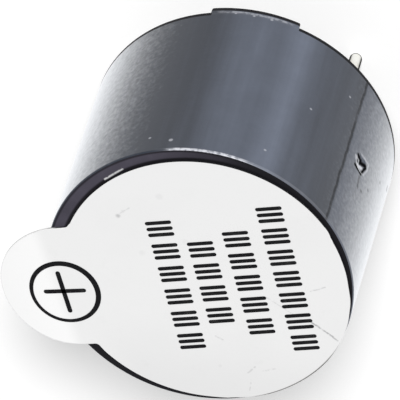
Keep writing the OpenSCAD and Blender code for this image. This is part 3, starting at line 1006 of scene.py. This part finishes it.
    def _flat(self, outlines: Sequence[Sequence[Point]], turn: float) -> Mesh:
        """Flat faces from outlines that are drawn round the label's centre and turned."""
        mesh = bmesh.new()
        spin = Matrix.Rotation(math.radians(turn), 4, "Z")
        centre = Vector((*self.centre, 0.0))
        for outline in outlines:
            mesh.faces.new([mesh.verts.new(centre + spin @ Vector((*p, 0.0))) for p in outline])
        return mesh

    def _print_rows(self) -> Mesh:
        """Four rows of plain bars, in groups of three."""
        outlines = []
        half = self.row_height / 2
        for middle, start, end, groups in self.rows:
            pitch = (end - start) / groups
            for group in range(groups):
                for bar in self.bar_places:
                    at = start + pitch * (group + 0.5) + bar
                    ends = (middle - half, at), (middle + half, at)
                    outlines.append(self._capsule(*ends, self.bar_w))
        return self._flat(outlines, self.rows_turn)

    @staticmethod
    def _capsule(start: Point, end: Point, width: float) -> list[Point]:
        """Outline of a stroke whose round ends lie between its two end points."""
        turn = math.degrees(math.atan2(end[1] - start[1], end[0] - start[0]))
        inset = (Vector(end) - Vector(start)).normalized() * width / 2
        first, last = Vector(start) + inset, Vector(end) - inset
        return [
            *arc(tuple(last), width / 2, turn - 90, turn + 90, 8),
            *arc(tuple(first), width / 2, turn + 90, turn + 270, 8),
        ]

    def _sign(self) -> Mesh:
        """Plus sign in a ring whose line thins to one side."""
        middle = Vector(self.sign_centre) - Vector(self.centre)
        strokes = [
            self._capsule(*(tuple(middle + Vector(end)) for end in stroke), self.sign_line)
            for stroke in self.sign_strokes
        ]
        mesh = self._flat(strokes, 0.0)
        round_one = arc((0, 0), 1, 0, 360, self.sign_steps)[:-1]
        right, up = self.sign_hole_shift
        lines = []
        for line, shift_x, shift_y in ((0.0, 0.0, 0.0), (self.sign_line, right, up)):
            x, y = self.sign_centre[0] + shift_x, self.sign_centre[1] + shift_y
            wide, high = (axis - line for axis in self.sign_axes)
            points = [(x + c * wide, y + s * high, 0.0) for c, s in round_one]
            lines.append([mesh.verts.new(point) for point in points])
        outer, inner = lines
        for i in range(self.sign_steps):
            mesh.faces.new((outer[i - 1], outer[i], inner[i], inner[i - 1]))
        return mesh


@dataclass
class Potting:
    """Resin that closes the mouth, with a creep up the wall and a collar round each pin."""

    mouth_r: float = 5.4
    low_z: float = 0.5
    top_z: float = 1.3
    creep: float = 0.09
    creep_w: float = 0.45
    pin_x: float = 3.8
    pin_r: float = 0.25
    collar_w: float = 0.22
    collar_h: float = 0.14
    radii: tuple[float, ...] = (0.02, 0.4, 0.9, 1.5, 2.1, 2.7, 3.3, 3.9, 4.5)
    resin: Dull = Dull(
        "potting", (0.010, 0.010, 0.012), (0.026, 0.025, 0.026), 3.0, 0.16, 0.02, 1.5, 0.6
    )

    def build(self) -> bpy.types.Object:
        """Makes the resin and dresses it."""
        mesh = bmesh.new()
        creeping = [self.mouth_r - self.creep_w * (1 - i / 8) for i in range(9)]
        profile = [(0.001, self.top_z), (0.001, self.low_z)]
        profile += [(radius, self.low_z) for radius in self.radii]
        profile += [
            (radius, self.low_z - self.creep * (i / 8) ** 2) for i, radius in enumerate(creeping)
        ]
        profile += [(self.mouth_r, self.top_z)]
        revolve(mesh, profile, [i * 2.0 for i in range(180)], self._uneven)
        for side in (-1, 1):
            self._add_collar(mesh, side * self.pin_x)
        bmesh.ops.remove_doubles(mesh, verts=mesh.verts, dist=1e-4)
        return add_piece("potting_resin", mesh, [self.resin.build()], "potting", ["epoxy_seal"])

    def _uneven(self, point: Vector, _turn: float) -> Vector:
        """Gives the poured surface its slight waves."""
        if point.z > self.low_z + 0.1 or point.xy.length > self.mouth_r - 0.01:
            return point
        wave = noise.noise(Vector((point.x * 0.35, point.y * 0.35, 1.7)))
        ripple = noise.noise(Vector((point.x * 1.1, point.y * 1.1, 5.2)))
        return point + Vector((0, 0, wave * 0.035 + ripple * 0.01))

    def _add_collar(self, mesh: Mesh, at: float) -> None:
        """Adds the resin that climbs one pin."""
        wide, sunk = self.collar_w, self.low_z + 0.1
        profile = [
            (self.pin_r + wide * (1 - i / 6), self.low_z + 0.03 - self.collar_h * (i / 6) ** 2)
            for i in range(7)
        ]
        profile += [(self.pin_r, sunk), (self.pin_r + wide, sunk)]
        turns = [i * 7.5 for i in range(48)]
        revolve(mesh, profile, turns, lambda point, _turn: point + Vector((at, 0, 0)))


@dataclass
class Metalwork:
    """The pins, the driver circuit and the sounder inside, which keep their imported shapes."""

    finishes: tuple[tuple[Metal | Dull, tuple[str, ...]], ...] = (
        (Metal("tinned_metal", (0.95, 0.95, 0.91), (0.78, 0.74, 0.64), Make.DRAWN, 0.14, 0.2, 0.9),
         ("positive_pin", "negative_pin", "transistor_leads", "resistor_caps")),
        (Metal("solder", (0.74, 0.74, 0.73), (0.45, 0.44, 0.42), Make.CAST, 0.24, 0.3),
         ("positive_solder", "negative_solder", "lead_solder")),
        (Metal("plated_steel", (0.58, 0.58, 0.60), (0.36, 0.36, 0.38), Make.ROLLED, 0.36, 0.4),
         ("yoke_plate",)),
        (Metal("soft_iron", (0.42, 0.42, 0.43), (0.24, 0.23, 0.22), Make.TURNED, 0.4, 0.5),
         ("pole_core", "armature_disc")),
        (Metal("ring_metal", (0.70, 0.70, 0.71), (0.50, 0.50, 0.52), Make.TURNED, 0.34, 0.5),
         ("support_ring",)),
        (Metal("diaphragm_metal", (0.6, 0.6, 0.62), (0.42, 0.41, 0.40), Make.ROLLED, 0.28, 0.5),
         ("diaphragm",)),
        (Metal("copper_foil", (0.80, 0.42, 0.24), (0.48, 0.22, 0.12), Make.ROLLED, 0.36),
         ("copper_tracks",)),
        (Metal("enamelled_copper", (0.62, 0.22, 0.09), (0.34, 0.1, 0.04), Make.TURNED, 0.26, 0.8),
         ("coil_winding", "coil_lead_start", "coil_lead_end", "coil_lead_sense")),
        (Dull("board_laminate", (0.03, 0.13, 0.06), (0.06, 0.2, 0.09), 6, 0.38, 0.008, 1.5, 0.3),
         ("circuit_board",)),
        (Dull("chip_plastic", (0.016, 0.016, 0.018), (0.035, 0.035, 0.037), 18, 0.55),
         ("driver_transistor",)),
        (Dull("resistor_ceramic", (0.78, 0.76, 0.70), (0.66, 0.63, 0.56), 12, 0.5),
         ("base_resistor",)),
        (Dull("ferrite", (0.045, 0.044, 0.046), (0.085, 0.08, 0.08), 10, 0.62, 0.015),
         ("ring_magnet",)),
        (Dull("case_core", (0.02, 0.021, 0.026), (0.05, 0.052, 0.06), 8, 0.4), ("case",)),
        (Dull("seal_core", (0.8, 0.8, 0.79), (0.7, 0.7, 0.69), 8, 0.5), ("seal_label",)),
        (Dull("potting_core", (0.01, 0.01, 0.012), (0.03, 0.03, 0.03), 4, 0.2), ("epoxy_seal",)),
    )

    def dress(self, nodes: Mapping[str, bpy.types.Object]) -> None:
        """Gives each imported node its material, also those under the scene's own pieces."""
        for finish, names in self.finishes:
            material = finish.build()
            for name in names:
                self._assign(nodes[name], material)

    @staticmethod
    def _assign(node: bpy.types.Object, material: Material) -> None:
        """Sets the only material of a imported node."""
        node.data.materials.clear()
        node.data.materials.append(material)
        log.info("%s: %s", node.name, material.name)


@dataclass
class Studio:
    """Pale floor at the pins' tips, white surroundings, one soft key lamp and the camera."""

    floor_z: float = -4.3
    floor_size: float = 1200.0
    floor_colour: float = 0.78
    floor_lift: float = 0.29
    ambient: float = 0.42
    key_turn: float = -118.6
    key_height: float = 46.0
    key_strength: float = 2.67
    key_spread: float = 12.0
    eye: Triple = (-102.177, -168.512, 250.881)
    aim: Triple = (0.8394, -0.3312, 4.728)
    roll: float = 162.0026
    lens: float = 731.577

    def build(self) -> None:
        """Makes the floor, the surroundings, the lamp and the camera."""
        self._add_floor()
        self._light_world()
        self._add_key()
        self._add_camera()

    def _seen(self, g: Graph) -> Signal:
        """1 for rays from the camera, mirrors and clear things."""
        rays = g.node("ShaderNodeLightPath").outputs
        seen = Signal(g, rays["Is Camera Ray"]) + Signal(g, rays["Is Glossy Ray"])
        return (seen + Signal(g, rays["Is Transmission Ray"])).least(1)

    def _add_floor(self) -> None:
        """Adds the floor, whose shine-free white keeps the shadow."""
        g = Graph("floor")
        grey = (self.floor_colour,) * 3
        plain = g.principled(Base_Color=grey, Roughness=0.9, Specular_IOR_Level=0.0)
        lifted = g.principled(
            Base_Color=grey, Roughness=0.9, Specular_IOR_Level=0.0,
            Emission_Color=(1.0, 1.0, 1.0), Emission_Strength=self.floor_lift,
        )
        shown = g.blend(self._seen(g), plain, lifted)
        clear = g.node("ShaderNodeBsdfTransparent").outputs[0]
        back = g.node("ShaderNodeNewGeometry").outputs["Backfacing"]
        g.finish(g.blend(back, shown, clear))
        mesh = bmesh.new()
        bmesh.ops.create_grid(mesh, x_segments=8, y_segments=8, size=self.floor_size * MM / 2)
        data = to_data("floor", mesh)
        data.materials.append(g.material)
        floor = linked("floor", data)
        floor.location.z = self.floor_z * MM
        log.info("floor: z %.1f mm", self.floor_z)

    def _light_world(self) -> None:
        """Sets white surroundings that light the part at a plain level."""
        world = bpy.data.worlds.new("surroundings")
        world.use_nodes = True
        bpy.context.scene.world = world
        g = Graph("surroundings", world.node_tree)
        strength = self.ambient + self._seen(g) * (1 - self.ambient)
        light = g.node("ShaderNodeBackground", None, {0: (1.0, 1.0, 1.0), 1: strength})
        g.node("ShaderNodeOutputWorld", None, {"Surface": light.outputs[0]})
        log.info("surroundings: %.2f", self.ambient)

    def _add_key(self) -> None:
        """Adds the soft key lamp."""
        lamp = bpy.data.lights.new("key", "SUN")
        lamp.energy = self.key_strength
        lamp.angle = math.radians(self.key_spread)
        key = linked("key", lamp)
        up = math.radians(self.key_height)
        towards = polar(math.cos(up), self.key_turn, math.sin(up))
        key.rotation_euler = towards.to_track_quat("Z", "Y").to_euler()
        log.info("key: strength %.2f", self.key_strength)

    def _add_camera(self) -> None:
        """Adds the camera at the photograph's viewing angle."""
        data = bpy.data.cameras.new("camera")
        data.sensor_width = 36.0
        data.lens = self.lens
        data.clip_start, data.clip_end = 0.01, 10.0
        camera = linked("camera", data)
        back = (Vector(self.eye) - Vector(self.aim)).normalized()
        side = Vector((0, 0, 1)).cross(back).normalized()
        top = back.cross(side)
        a = math.radians(self.roll)
        up = side * math.sin(a) + top * math.cos(a)
        right = up.cross(back)
        turned = Matrix((right, up, back)).transposed().to_4x4()
        camera.matrix_world = Matrix.Translation(Vector(self.eye) * MM) @ turned
        bpy.context.scene.camera = camera
        log.info("camera: lens %.1f", self.lens)


def main() -> None:
    """Builds and dresses the part, then the studio."""
    logging.basicConfig(level=logging.INFO, format="%(name)s %(message)s")
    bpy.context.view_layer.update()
    Metalwork().dress(frame["nodes"])
    MouldedCase().build()
    SealLabel().build()
    Potting().build()
    Studio().build()
    bpy.context.scene.view_settings.view_transform = "Standard"
    bpy.context.view_layer.update()


if __name__ == "__main__":
    main()
